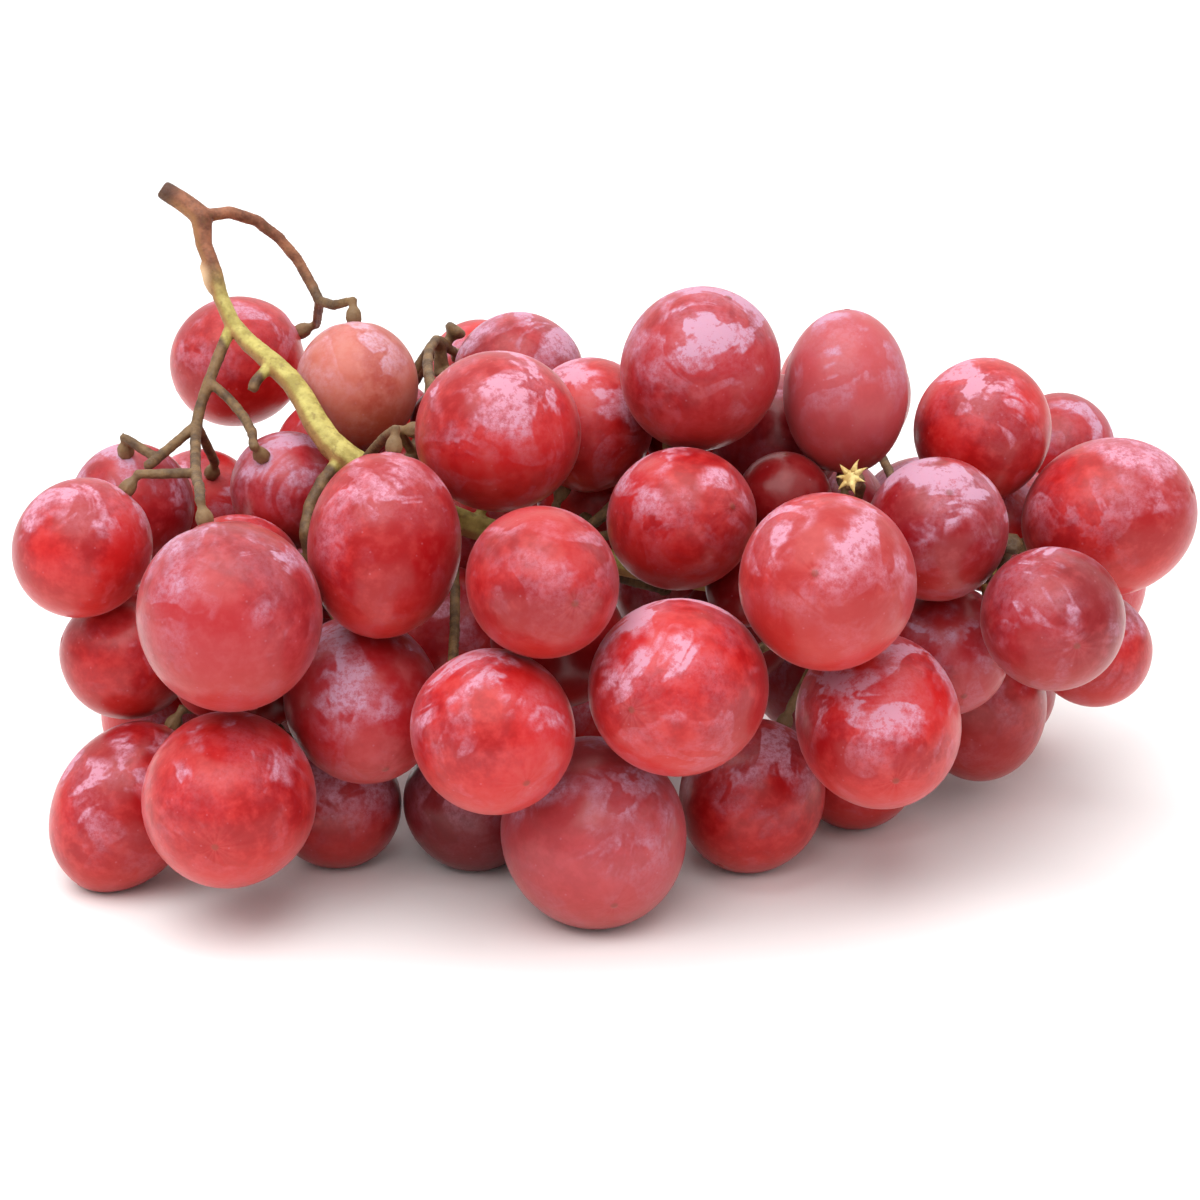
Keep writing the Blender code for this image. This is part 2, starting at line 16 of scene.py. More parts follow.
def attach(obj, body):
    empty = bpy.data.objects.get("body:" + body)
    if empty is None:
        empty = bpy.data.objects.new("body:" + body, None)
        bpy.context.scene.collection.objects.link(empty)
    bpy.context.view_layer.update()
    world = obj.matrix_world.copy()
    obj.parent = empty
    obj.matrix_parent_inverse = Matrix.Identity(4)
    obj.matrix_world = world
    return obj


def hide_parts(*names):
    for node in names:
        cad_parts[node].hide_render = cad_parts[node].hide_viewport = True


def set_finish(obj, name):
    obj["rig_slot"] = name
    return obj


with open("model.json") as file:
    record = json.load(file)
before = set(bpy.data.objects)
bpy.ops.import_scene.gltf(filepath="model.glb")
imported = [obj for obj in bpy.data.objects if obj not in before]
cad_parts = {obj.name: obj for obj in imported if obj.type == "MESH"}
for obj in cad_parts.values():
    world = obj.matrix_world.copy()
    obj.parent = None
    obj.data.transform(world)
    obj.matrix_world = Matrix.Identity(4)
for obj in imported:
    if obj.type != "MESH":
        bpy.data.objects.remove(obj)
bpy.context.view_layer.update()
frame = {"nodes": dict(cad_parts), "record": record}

MM = 0.001
GRAPES = sorted(name for name in frame["nodes"] if name.startswith("grape_"))
SLOTS = {row["node"]: row["material_slot"] for row in frame["record"]["subparts"]}

# %% [markdown]
# A plain grape in the model is a coarse egg shape whose corners lie exactly on a smooth one: an ellipsoid of
# revolution, with one long axis and two equal short ones. Its middle, axis and size could be repeated here as
# numbers, but they can also be worked back from the corners. An ellipsoid is where a sum of squares and products
# of the coordinates equals one, so a least-squares fit finds the sum's factors, and its eigenvectors are the
# axes. The grapes that lie on the floor are cut flat, and the corners of the cut are left out of the fit.

# %% Measure every grape
CAP_RADIUS = 2.1  # the small flat that each plain grape has where its stalk meets it
FLOOR_LEVEL = 0.01  # corners lower than this lie on the floor's cut
ON_CAP = 0.02  # corners this near the cap's height belong to it


def corners_of(node):
    """The node's corner points in millimetres, each once."""
    mesh = frame["nodes"][node].data
    places = np.zeros(3 * len(mesh.vertices))
    mesh.vertices.foreach_get("co", places)
    return np.unique(np.round(places.reshape(-1, 3) / MM, 4), axis=0)


def measured(node):
    """The grape's middle, its axis from the stalk end to the far end, and its half length and half width."""
    corners = corners_of(node)
    corners = corners[corners[:, 2] > FLOOR_LEVEL]
    start = corners.mean(0)
    x, y, z = (corners - start).T
    terms = np.stack([x * x, y * y, z * z, 2 * x * y, 2 * x * z, 2 * y * z, x, y, z], axis=1)
    a, b, c, d, e, f, *slope = np.linalg.lstsq(terms, np.ones(len(corners)), rcond=None)[0]
    form = np.array([[a, d, e], [d, b, f], [e, f, c]])
    middle = -0.5 * np.linalg.solve(form, slope)
    strengths, axes = np.linalg.eigh(form / (1 + middle @ form @ middle))
    half_length, half_width = 1 / np.sqrt(strengths[0]), 1 / np.sqrt(strengths[1:].mean())
    axis = axes[:, 0]
    along = (corners - start - middle) @ axis
    cap = half_length * math.sqrt(1 - (CAP_RADIUS / half_width) ** 2)
    if np.sum(abs(along - cap) < ON_CAP) > np.sum(abs(along + cap) < ON_CAP):
        axis = -axis
    return start + middle, axis, half_length, half_width


MIDDLES, AXES, HALF_LENGTHS, HALF_WIDTHS = (np.array(column) for column in zip(*map(measured, GRAPES)))
print("mean width", round(2 * HALF_WIDTHS.mean(), 1), "mm, mean length", round(2 * HALF_LENGTHS.mean(), 1), "mm")

# %% [markdown]
# A real grape isn't a ball. It has a small dimple where its stalk joins it and, at the far end, a tiny brown
# scar where the flower was. One pattern grape gets both, modelled on a unit sphere as by hand: the stalk end
# points down and the far end up. A sphere of rings suits it better than a cube that is rounded, because both
# ends are at its poles, where the rings are already round.

# %% Model the pattern grape
SIDES, RINGS = 56, 36
RING = math.pi / RINGS  # how far apart the rings are
DIMPLE_DEPTH = 0.035  # in half widths
DIMPLE_REACH = 0.42
NECK_RISE = 0.05  # how far the skin at the dimple's middle rises to meet the stalk
NECK_REACH = 0.2
SCAR_STEPS = ((0.3 * RING, -0.006), (0.25 * RING, 0.012))  # width and rise: a fine groove, then a small knob


def deselect_all():
    if bpy.context.object and bpy.context.object.mode != "OBJECT":
        bpy.ops.object.mode_set(mode="OBJECT")
    bpy.ops.object.select_all(action="DESELECT")


def select_points(obj, wanted):
    """In edit mode, selects the points where wanted(place) is true."""
    bpy.ops.mesh.select_all(action="DESELECT")
    bpy.ops.mesh.select_mode(type="VERT")
    bpy.ops.object.mode_set(mode="OBJECT")
    for point in obj.data.vertices:
        point.select = wanted(point.co)
    bpy.ops.object.mode_set(mode="EDIT")


deselect_all()
bpy.ops.mesh.primitive_uv_sphere_add(segments=SIDES, ring_count=RINGS, radius=1)
pattern = bpy.context.object
pattern.name = "pattern_grape"
bpy.ops.object.mode_set(mode="EDIT")
for rise, reach in ((DIMPLE_DEPTH, DIMPLE_REACH), (-NECK_RISE, NECK_REACH)):
    select_points(pattern, lambda place: abs(place.x) + abs(place.y) < 0.01 and place.z < 0)
    bpy.ops.transform.translate(
        value=(0, 0, rise), use_proportional_edit=True, proportional_edit_falloff="SMOOTH", proportional_size=reach
    )
select_points(pattern, lambda place: place.z > math.cos(1.5 * RING))
bpy.ops.mesh.select_mode(type="FACE")
for width, rise in SCAR_STEPS:
    bpy.ops.mesh.inset(thickness=width, depth=rise)
bpy.ops.object.mode_set(mode="OBJECT")
bpy.ops.object.shade_smooth()
unit_places = np.array([point.co for point in pattern.data.vertices])
print("pattern grape:", len(pattern.data.polygons), "faces, lowest", round(unit_places[:, 2].min(), 3))

# %% [markdown]
# Each grape is a copy of the pattern with a mesh of its own, stretched to the measured width and length, turned
# to the measured axis and moved to its middle. No two grapes are alike, so a few long waves swell or sink each
# one by a tenth of a millimetre, drawn from a seed. A grape that rests on the floor is pressed flat there.
# What the finish needs goes along as attributes: the place in the grape's own frame, how far the skin faces up,
# how close the next grape is, how much bloom this grape has, and where its red is brighter. A few grapes stand out
# in the photo as paler, darker or more wiped than the rest, and a short table tells which.

# %% Shape a copy for every grape
LUMP = 0.009  # share of its radius by which a grape swells or sinks
NEAR, FAR = 0.5, 3.0  # a neighbour's skin this near, in millimetres, counts as touching, or as not
NEIGHBOURHOOD = 35  # no grape whose middle is farther off than this can touch
# The grapes deep inside get no bloom and a negative paleness, which paints them into shade.
INNER_SHADED_LOOK = (0.0, -0.6)  # bloom and paleness of the grapes deep inside
# A negative paleness mixes in SHADED_RED, a painted shade; the low grapes at the front sit in shade.
NOTED = {  # grapes that stand out in the photo: how much bloom they have, and how pale (1) or dark (-1) they are
    "grape_06": (1.3, -0.2), "grape_08": (0.9, 1.0), "grape_11": (1.0, 0.15), "grape_12": (1.3, 0.0),
    "grape_13": (1.0, -0.3), "grape_15": (1.0, 0.4), "grape_16": (0.9, -0.2), "grape_17": (0.5, -0.3),
    "grape_18": (0.4, -0.3), "grape_20": (0.7, 0.25), "grape_23": (0.6, -0.2), "grape_27": (1.5, -0.1),
    "grape_30": (0.6, -0.4), "grape_31": (1.8, 0.1), "grape_32": (1.2, -0.1), "grape_33": (0.4, -0.8),
    "grape_34": (0.65, 0.6), "grape_37": (0.6, -0.3),
}


def add_attribute(mesh, name, kind, values):
    """Stores a number or a vector for each point of the mesh."""
    layer = mesh.attributes.new(name, kind, "POINT")
    layer.data.foreach_set("value" if kind == "FLOAT" else "vector", np.ascontiguousarray(values, float).ravel())


def turned_to(axis):
    """The rotation that turns straight up to the axis, as a 3 by 3 array."""
    return np.array(Vector((0, 0, 1)).rotation_difference(Vector(axis)).to_matrix())


def long_waves(places, dice):
    """A smooth irregular value between about -1 and 1 over the unit sphere."""
    total = np.zeros(len(places))
    for _ in range(5):
        direction = dice.normal(size=3)
        total += np.sin(2.2 * places @ direction + dice.uniform(0, 2 * math.pi))
    return total / 3


def skin_distance(places, i):
    """How far the places are from the i-th grape's skin, in millimetres."""
    offset = places - MIDDLES[i]
    along = offset @ AXES[i]
    apart = np.linalg.norm(offset, axis=1)
    across = np.maximum(apart**2 - along**2, 0)
    return apart * (1 - 1 / np.sqrt(across / HALF_WIDTHS[i] ** 2 + along**2 / HALF_LENGTHS[i] ** 2))


def eased(values, start, end):
    """0 at the start, 1 at the end, and smooth between."""
    share = np.clip((values - start) / (end - start), 0, 1)
    return share * share * (3 - 2 * share)


def new_grape(i, dice, name=None):
    """A finer grape at the i-th middle, shaped and placed like the plain one, or with a name of its own."""
    mesh = pattern.data.copy()
    size = np.array([HALF_WIDTHS[i], HALF_WIDTHS[i], HALF_LENGTHS[i]])
    own = unit_places * size * (1 + LUMP * long_waves(unit_places, dice))[:, None]
    places = own @ turned_to(AXES[i]).T + MIDDLES[i]
    places[:, 2] = np.maximum(places[:, 2], 0)
    mesh.vertices.foreach_set("co", (places * MM).ravel())
    mesh.update()
    upward = np.zeros(3 * len(mesh.vertices))
    mesh.vertices.foreach_get("normal", upward)
    near = np.linalg.norm(MIDDLES - MIDDLES[i], axis=1) < NEIGHBOURHOOD
    others = [skin_distance(places, k) for k in np.flatnonzero(near) if k != i]
    add_attribute(mesh, "own_place", "FLOAT_VECTOR", own)
    add_attribute(mesh, "upward", "FLOAT", 0.5 + 0.5 * upward[2::3])
    add_attribute(mesh, "touching", "FLOAT", 1 - eased(np.min(others, axis=0), NEAR, FAR))
    add_attribute(mesh, "bloom_share", "FLOAT", np.full(len(own), 0.0 if name else dice.uniform(0, 1)))
    # Inner grapes are also made less red, part of their painted shade.
    redness = 0.5 + 0.45 * long_waves(unit_places, dice) + dice.uniform(-0.25, 0.25) - (0.5 if name else 0)
    add_attribute(mesh, "redness", "FLOAT", np.clip(redness, 0, 1))
    kept, paleness = INNER_SHADED_LOOK if name else NOTED.get(GRAPES[i], (1.0, 0.0))
    add_attribute(mesh, "bloom_kept", "FLOAT", np.full(len(own), kept))
    add_attribute(mesh, "paleness", "FLOAT", np.full(len(own), paleness))
    obj = bpy.data.objects.new(name or "ripe_" + GRAPES[i], mesh)
    bpy.context.scene.collection.objects.link(obj)
    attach(obj, "root")
    if not name:
        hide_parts(GRAPES[i])
    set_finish(obj, "red_skin" if name else SLOTS[GRAPES[i]])
    return obj


ripe_grapes = [new_grape(i, np.random.default_rng(i)) for i in range(len(GRAPES))]
print(len(ripe_grapes), "finer grapes,", sum(len(obj.data.polygons) for obj in ripe_grapes), "faces")

# %% [markdown]
# A full bunch has small grapes deep inside that no one sees as such: they only make the gaps dark. Without them
# the white surface shines through. The model leaves them out, so they are added here. A grid of spots is laid
# through the bunch, and only the spots with enough grapes all round them are kept. Each new grape goes where the
# most room is left among the others and the stalk, and then counts as one of the others.

# %% Fill the bunch's inside
INNER_GRAPES = 20
SMALLEST, LARGEST = 4.6, 10.0  # half widths in millimetres
SPACING, MARGIN = 2.0, 12.0  # of the grid of spots that are tried
CROWD_REACH, CROWD = 34, 9  # a spot inside the bunch has more than this many middles within reach
MOST_LEAN = 0.35  # and has them on all sides, which a mean direction this short tells
STALK_GAP, GRAPE_GAP = 0.4, 0.2
stalk_corners = corners_of("stalk")
lowest, highest = MIDDLES.min(0) + MARGIN, MIDDLES.max(0) + (0, 0, 6) - MARGIN
steps = [np.arange(low, high, SPACING) for low, high in zip(lowest, highest)]
spots = np.stack(np.meshgrid(*steps, indexing="ij"), axis=-1).reshape(-1, 3)
offsets = MIDDLES[None] - spots[:, None]
apart = np.linalg.norm(offsets, axis=-1)
close = apart < CROWD_REACH
lean = np.linalg.norm((offsets / apart[..., None] * close[..., None]).sum(1), axis=1) / close.sum(1).clip(1)
spots = spots[(close.sum(1) > CROWD) & (lean < MOST_LEAN)]
from_stalk = np.min([np.linalg.norm(spots - corner, axis=1) for corner in stalk_corners], axis=0)
from_grapes = np.min([skin_distance(spots, i) for i in range(len(GRAPES))], axis=0)
room = np.minimum(from_grapes, from_stalk - STALK_GAP)
for number in range(INNER_GRAPES):
    best = room.argmax()
    if room[best] < SMALLEST:
        break
    half_width = min(room[best] - GRAPE_GAP, LARGEST)
    MIDDLES, AXES = np.vstack([MIDDLES, spots[best]]), np.vstack([AXES, (0, 0, 1)])
    HALF_WIDTHS, HALF_LENGTHS = np.append(HALF_WIDTHS, half_width), np.append(HALF_LENGTHS, half_width)
    room = np.minimum(room, np.linalg.norm(spots - spots[best], axis=1) - half_width)
    ripe_grapes.append(new_grape(len(MIDDLES) - 1, np.random.default_rng(100 + number), f"inner_grape_{number + 1}"))
MIDDLES, AXES = MIDDLES[: len(GRAPES)], AXES[: len(GRAPES)]
HALF_LENGTHS, HALF_WIDTHS = HALF_LENGTHS[: len(GRAPES)], HALF_WIDTHS[: len(GRAPES)]
bpy.data.objects.remove(pattern)
print(len(ripe_grapes) - len(GRAPES), "inner grapes")

# %% [markdown]
# A material is a tree of nodes. Most of them here only make numbers: noise, ramps and sums. One small helper
# keeps that readable. It adds a node and gives each input either a plain value or another node's socket.

# %% A helper for nodes


def add(tree, kind, inputs=(), **settings):
    """A new node with these settings, and with each input set to a value or linked to a socket."""
    made = tree.nodes.new(kind)
    for name, value in settings.items():
        setattr(made, name, value)
    for name, value in dict(inputs).items():
        if isinstance(value, bpy.types.NodeSocket):
            tree.links.new(value, made.inputs[name])
        else:
            made.inputs[name].default_value = value
    return made


def noise(tree, place, scale, detail=3.0, roughness=0.5, distortion=0.0):
    made = add(
        tree,
        "ShaderNodeTexNoise",
        {"Vector": place, "Scale": scale, "Detail": detail, "Roughness": roughness, "Distortion": distortion},
    )
    return made.outputs["Fac"]


def ramped(tree, value, low, high, to_low=0.0, to_high=1.0):
    """The value moved smoothly from one range to another."""
    inputs = {"Value": value, "From Min": low, "From Max": high, "To Min": to_low, "To Max": to_high}
    return add(tree, "ShaderNodeMapRange", inputs, interpolation_type="SMOOTHSTEP").outputs["Result"]


def sums(tree, operation, a, b=0.0):
    return add(tree, "ShaderNodeMath", {0: a, 1: b}, operation=operation).outputs[0]


def mixed(tree, share, a, b, blend="MIX"):
    """The colour between a and b."""
    made = add(tree, "ShaderNodeMix", data_type="RGBA", blend_type=blend)
    for name, value in (("Factor_Float", share), ("A_Color", a), ("B_Color", b)):
        socket = next(s for s in made.inputs if s.identifier == name)
        if isinstance(value, bpy.types.NodeSocket):
            tree.links.new(value, socket)
        else:
            socket.default_value = value
    return next(s for s in made.outputs if s.identifier == "Result_Color")


def attribute(tree, name, output="Fac"):
    return add(tree, "ShaderNodeAttribute", attribute_name=name).outputs[output]


def new_group(name, inputs, outputs):
    """An empty node group with these sockets: its tree, its input node and its output node."""
    tree = bpy.data.node_groups.new(name, "ShaderNodeTree")
    for side, sockets in (("INPUT", inputs), ("OUTPUT", outputs)):
        for label, kind in sockets.items():
            tree.interface.new_socket(label, in_out=side, socket_type="NodeSocket" + kind)
    return tree, tree.nodes.new("NodeGroupInput").outputs, tree.nodes.new("NodeGroupOutput").inputs


def millimetres(tree):
    """The place on the piece in millimetres."""
    place = add(tree, "ShaderNodeTexCoord").outputs["Object"]
    return add(tree, "ShaderNodeMapping", {"Vector": place, "Scale": (1 / MM,) * 3}).outputs["Vector"]


print("helpers for nodes: add, noise, ramped, sums, mixed, attribute, new_group, millimetres")

# %% [markdown]
# Bloom is the pale waxy dust on a grape. It is thickest where nothing has touched it, and every finger, leaf or
# neighbour rubs some of it off, so it lies in soft clouds with sharper wiped patches, and breaks up into fine
# grain. All three kinds of skin need it, so it is a node group: it takes the place on the skin and how much bloom
# there is, and puts out a mask that is 1 where the bloom is thick. Every octave of noise costs time at every
# point that a ray meets, so each noise has only as much detail as shows.

# %% The bloom group
bloom_group, given, out = new_group("bloom", {"Place": "Vector", "Amount": "Float"}, {"Mask": "Float"})
clouds = noise(bloom_group, given["Place"], 0.12, detail=2, roughness=0.6)
patches = noise(bloom_group, given["Place"], 0.09, detail=3, roughness=0.6, distortion=1.2)
grain = noise(bloom_group, given["Place"], 1.1, detail=3, roughness=0.75)
wiped = ramped(bloom_group, patches, 0.46, 0.53)
soft = ramped(bloom_group, clouds, 0.36, 0.64)
thick = sums(bloom_group, "MULTIPLY", soft, ramped(bloom_group, grain, 0.3, 0.68, 0.35, 1.2))
left = sums(bloom_group, "SUBTRACT", 1.0, sums(bloom_group, "MULTIPLY", wiped, 0.85))
mask = sums(bloom_group, "MULTIPLY", sums(bloom_group, "MULTIPLY", thick, left), given["Amount"])
bloom_group.links.new(add(bloom_group, "ShaderNodeClamp", {"Value": mask}).outputs[0], out["Mask"])
print("bloom group:", len(bloom_group.nodes), "nodes")

# %% [markdown]
# Close up, the skin has faint pale dots, the pores of the fruit, and a small brown scar at its far end with short
# pale rays that run out from it. It is paler round the stalk too. The grape's own frame tells how far each end is.
# This is a second group, because the three skins share it too.

# %% The pores and scar group
detail_group, given, out = new_group(
    "pores_and_scar",
    {"Own Place": "Vector"},
    {"Pores": "Float", "Scar": "Float", "Rays": "Float", "Stalk End": "Float"},
)
cells = add(detail_group, "ShaderNodeTexVoronoi", {"Vector": given["Own Place"], "Scale": 0.5})
own = add(detail_group, "ShaderNodeSeparateXYZ", {"Vector": given["Own Place"]}).outputs
level = add(detail_group, "ShaderNodeCombineXYZ", {"X": own["X"], "Y": own["Y"]}).outputs[0]
off_axis = add(detail_group, "ShaderNodeVectorMath", {0: level}, operation="LENGTH").outputs["Value"]
around = add(detail_group, "ShaderNodeVectorMath", {0: level}, operation="NORMALIZE").outputs[0]
spokes = ramped(detail_group, noise(detail_group, around, 3.2, detail=2), 0.35, 0.7)
far_half = ramped(detail_group, own["Z"], 0.0, 2.0)
stalk_half = ramped(detail_group, own["Z"], 0.0, -2.0)
for label, value, half in (
    ("Scar", ramped(detail_group, off_axis, 0.7, 0.3), far_half),
    ("Rays", sums(detail_group, "MULTIPLY", ramped(detail_group, off_axis, 7.5, 0.8), spokes), far_half),
    ("Stalk End", ramped(detail_group, off_axis, 5.0, 1.0), stalk_half),
):
    detail_group.links.new(sums(detail_group, "MULTIPLY", value, half), out[label])
detail_group.links.new(ramped(detail_group, cells.outputs["Distance"], 0.12, 0.03), out["Pores"])
print("pores and scar group:", len(detail_group.nodes), "nodes")

# %% [markdown]
# The skin itself is thin and the flesh under it lets light through, so a grape glows a little where it is lit:
# that is the shader's subsurface. Light that comes in at the top leaves at the bottom, and that glow is also
# painted: the underside gets a warmer red colour. The colour has layers: deep red skin first, with brighter regions
# whose edges the mottle makes ragged, then the paler mottle, stalk end and rays, then a painted shade red on the
# darker grapes, then the bloom over it all. The bloom is laid heaviest on top, which also paints a paler top where
# the light falls, and thinner where grapes touch, partly rubbed off and partly a painted shade between them. Bloom
# also takes away the gloss, and its dust catches light at a grazing angle, which is what the shader's sheen is for.
# Wiped skin stays smooth under a thin clear coat.

# %% The grape skins
SHADED_RED = (0.06, 0.001, 0.002, 1)
SCAR_BROWN = (0.16, 0.05, 0.025, 1)


def new_skin(slot, deep, bright, pale, painted_glow, dust, bloom):
    """A grape skin: its deep, bright and pale colours, a painted underside glow, the bloom's colour and its least
    and most.
    """
    material = bpy.data.materials.new(slot)
    material.use_nodes = True
    tree = material.node_tree
    shader = tree.nodes["Principled BSDF"]
    place = millimetres(tree)
    detail = add(tree, "ShaderNodeGroup", node_tree=detail_group)
    tree.links.new(attribute(tree, "own_place", "Vector"), detail.inputs["Own Place"])
    upward = attribute(tree, "upward")
    by_grape = ramped(tree, attribute(tree, "bloom_share"), 0.0, 1.0, bloom[0], bloom[1])
    # Bloom rises toward the top: partly the real dust, partly a painted paler top where the light falls from above.
    bloom_and_painted_top_light = ramped(tree, upward, 0.42, 0.98, 0.15, 1.6)
    # Bloom thins where grapes touch: partly rubbed off, partly a painted deeper red between grapes, where shade
    # falls.
    rubbed_and_shaded_by_touch = ramped(tree, attribute(tree, "touching"), 0.0, 1.0, 1.0, 0.5)
    share = attribute(tree, "bloom_kept")
    for factor in (by_grape, bloom_and_painted_top_light, rubbed_and_shaded_by_touch):
        share = sums(tree, "MULTIPLY", share, factor)
    dusty = add(tree, "ShaderNodeGroup", node_tree=bloom_group)
    for label, value in (("Place", place), ("Amount", share)):
        tree.links.new(value, dusty.inputs[label])
    mask = dusty.outputs["Mask"]
    mottle = noise(tree, place, 0.42, detail=3, roughness=0.65)
    paleness = attribute(tree, "paleness")
    ragged = sums(tree, "ADD", attribute(tree, "redness"), sums(tree, "MULTIPLY", mottle, 1.2))
    colour = mixed(tree, ramped(tree, ragged, 0.75, 1.45), (*deep, 1), (*bright, 1))
    colour = mixed(tree, ramped(tree, paleness, 0.0, 1.0, 0.0, 0.7), colour, (*pale, 1))
    # Painted glow: the underside is mixed toward a warmer red, where light through the flesh would leave.
    colour = mixed(tree, ramped(tree, upward, 0.55, 0.1, 0, 0.75), colour, (*painted_glow, 1))
    for value, amount in (
        (ramped(tree, mottle, 0.42, 0.72), 0.25),
        (detail.outputs["Stalk End"], 0.4),
        (detail.outputs["Rays"], 0.3),
    ):
        colour = mixed(tree, sums(tree, "MULTIPLY", value, amount), colour, (*pale, 1))
    # Painted shade: a negative paleness darkens the grape toward SHADED_RED.
    colour = mixed(tree, ramped(tree, paleness, 0.0, -1.0, 0.0, 0.85), colour, SHADED_RED)
    colour = mixed(tree, mask, colour, (*dust, 1))
    colour = mixed(tree, sums(tree, "MULTIPLY", detail.outputs["Pores"], 0.18), colour, (*dust, 1))
    colour = mixed(tree, sums(tree, "MULTIPLY", detail.outputs["Scar"], 0.5), colour, SCAR_BROWN)
    tree.links.new(colour, shader.inputs["Base Color"])
    tree.links.new(ramped(tree, mask, 0.0, 0.7, 0.34, 0.6), shader.inputs["Roughness"])
    tree.links.new(ramped(tree, mask, 0.0, 0.5, 0.2, 0.0), shader.inputs["Coat Weight"])
    relief = noise(tree, place, 0.5, detail=2, roughness=0.7)
    bump = add(tree, "ShaderNodeBump", {"Height": relief, "Strength": 0.22, "Distance": 0.3 * MM})
    tree.links.new(bump.outputs["Normal"], shader.inputs["Normal"])
    for name, value in (
        ("Coat Roughness", 0.22),
        ("IOR", 1.33),
        ("Sheen Weight", 0.08),
        ("Sheen Roughness", 0.35),
        ("Sheen Tint", (1.0, 0.82, 0.86, 1)),
        ("Subsurface Weight", 0.2),
        ("Subsurface Radius", (1.0, 0.15, 0.08)),
        ("Subsurface Scale", 2.5 * MM),
    ):
        shader.inputs[name].default_value = value
    return material


print("one recipe for a skin, with the colours and the bloom left open")

# %% [markdown]
# Three skins cover the bunch. Most grapes are red, some are mauve with thick bloom, and one near the cut end never
# ripened and stayed peach. They share one recipe, so that they differ only as real grapes of one bunch do, in
# their colours and in how much bloom they keep. The inner grapes wear the red skin.

# %% The three skins
SKINS = {
    "red_skin": new_skin(
        "red_skin",
        deep=(0.34, 0.003, 0.005),
        bright=(0.54, 0.011, 0.011),
        pale=(0.58, 0.075, 0.07),
        painted_glow=(0.54, 0.018, 0.009),
        dust=(0.61, 0.27, 0.36),
        bloom=(0.6, 1.25),
    ),
    "mauve_skin": new_skin(
        "mauve_skin",
        deep=(0.26, 0.003, 0.007),
        bright=(0.40, 0.012, 0.016),
        pale=(0.51, 0.085, 0.095),
        painted_glow=(0.45, 0.030, 0.020),
        dust=(0.53, 0.27, 0.37),
        bloom=(0.95, 1.45),
    ),
    "peach_skin": new_skin(
        "peach_skin",
        deep=(0.42, 0.070, 0.045),
        bright=(0.52, 0.125, 0.085),
        pale=(0.58, 0.26, 0.22),
        painted_glow=(0.50, 0.10, 0.03),
        dust=(0.60, 0.35, 0.42),
        bloom=(0.6, 0.6),
    ),
}
for obj in ripe_grapes:
    obj.data.materials.clear()
    obj.data.materials.append(SKINS[obj["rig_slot"]])
print("skins:", {name: len(material.node_tree.nodes) for name, material in SKINS.items()})

# %% [markdown]
# The stalk grew as one piece, so it is dressed as one. The plain solid has straight twigs with sharp joins. A
# voxel remesh wraps it in an even fine net in which the joins melt into each other, as they do on real wood, and
# smoothing rounds them. Building new tubes instead would leave seams at every fork.

# %% Wrap the stalk in a finer mesh
VOXEL = 0.36 * MM
SMOOTHED_OFF = 0.12 * MM  # what the smoothing takes off is pushed out again


def apply_modifier(obj, kind, **settings):
    modifier = obj.modifiers.new(kind.lower(), kind)
    for name, value in settings.items():
        setattr(modifier, name, value)
    bpy.ops.object.modifier_apply(modifier=modifier.name)


deselect_all()
stalk = bpy.data.objects.new("woody_stalk", frame["nodes"]["stalk"].data.copy())
bpy.context.scene.collection.objects.link(stalk)
stalk.select_set(True)
bpy.context.view_layer.objects.active = stalk
bpy.ops.object.mode_set(mode="EDIT")
bpy.ops.mesh.select_all(action="SELECT")
bpy.ops.mesh.remove_doubles(threshold=0.001 * MM)
bpy.ops.object.mode_set(mode="OBJECT")
apply_modifier(stalk, "REMESH", mode="VOXEL", voxel_size=VOXEL)
apply_modifier(stalk, "SMOOTH", factor=0.5, iterations=3)
apply_modifier(stalk, "DISPLACE", strength=SMOOTHED_OFF, mid_level=0)
bpy.ops.object.shade_smooth()
print("stalk:", len(stalk.data.vertices), "points")

# %% [markdown]
# The main stalk looks different from its twigs, and it changes along its run, so the finish has to know where it
# goes. Its course is drawn here by the same points as in the model's source. Every point of the mesh then finds
# the nearest place on that line, which tells how far along the stalk it is and whether it is on the main stalk.

# %% Follow the main stalk
ON_MAIN, OFF_MAIN = 2.4, 3.4  # how far from the line a place is still on the main stalk, and surely off it
DRAWN_SHIFT = np.array([-2.124, -1.606, 0.0])  # the source draws first and centres the bunch afterwards
MAIN_STALK = DRAWN_SHIFT + np.array(
    [
        (-68, 26, 95), (-65, 26, 93), (-62, 25, 91), (-62, 24, 88), (-60, 22, 83), (-58, 19, 77), (-54, 15, 73),
        (-50, 11, 71), (-46, 7, 68), (-42, 1, 63), (-38, -2, 60), (-31, -1, 55), (-21, 3, 48), (-9, 5, 44),
        (9, 3, 40), (28, 1, 38), (46, 1, 40), (61, 3, 39),
    ]
)


def drawn_fine(points, step=0.5):
    """Points at even steps along the line, with the run to each."""
    run = np.concatenate([[0], np.cumsum(np.linalg.norm(np.diff(points, axis=0), axis=1))])
    stops = np.arange(0, run[-1], step)
    return np.stack([np.interp(stops, run, points[:, k]) for k in range(3)], axis=1), stops


def points_of(obj):
    places = np.zeros(3 * len(obj.data.vertices))
    obj.data.vertices.foreach_get("co", places)
    return places.reshape(-1, 3) / MM


line, line_run = drawn_fine(MAIN_STALK)
places = points_of(stalk)
blocks = np.array_split(places, 60)
nearest = np.concatenate([((block[:, None] - line[None]) ** 2).sum(-1).argmin(1) for block in blocks])
from_line = np.linalg.norm(places - line[nearest], axis=1)
along_stalk = line_run[nearest]
on_main = 1 - eased(from_line, ON_MAIN, OFF_MAIN)
print("stalk reaches", round(float(line_run[-1])), "mm along its main line")

# %% [markdown]
# Each small stalk ends in a swollen cup that holds its grape. The solid has to make the cups stout and keep a gap
# to the grapes, so the cups are slimmed here and drawn out to touch. Near the top a strip of bark stands off.
# All of this only moves points that the net already has, with a soft edge, so no seam appears.

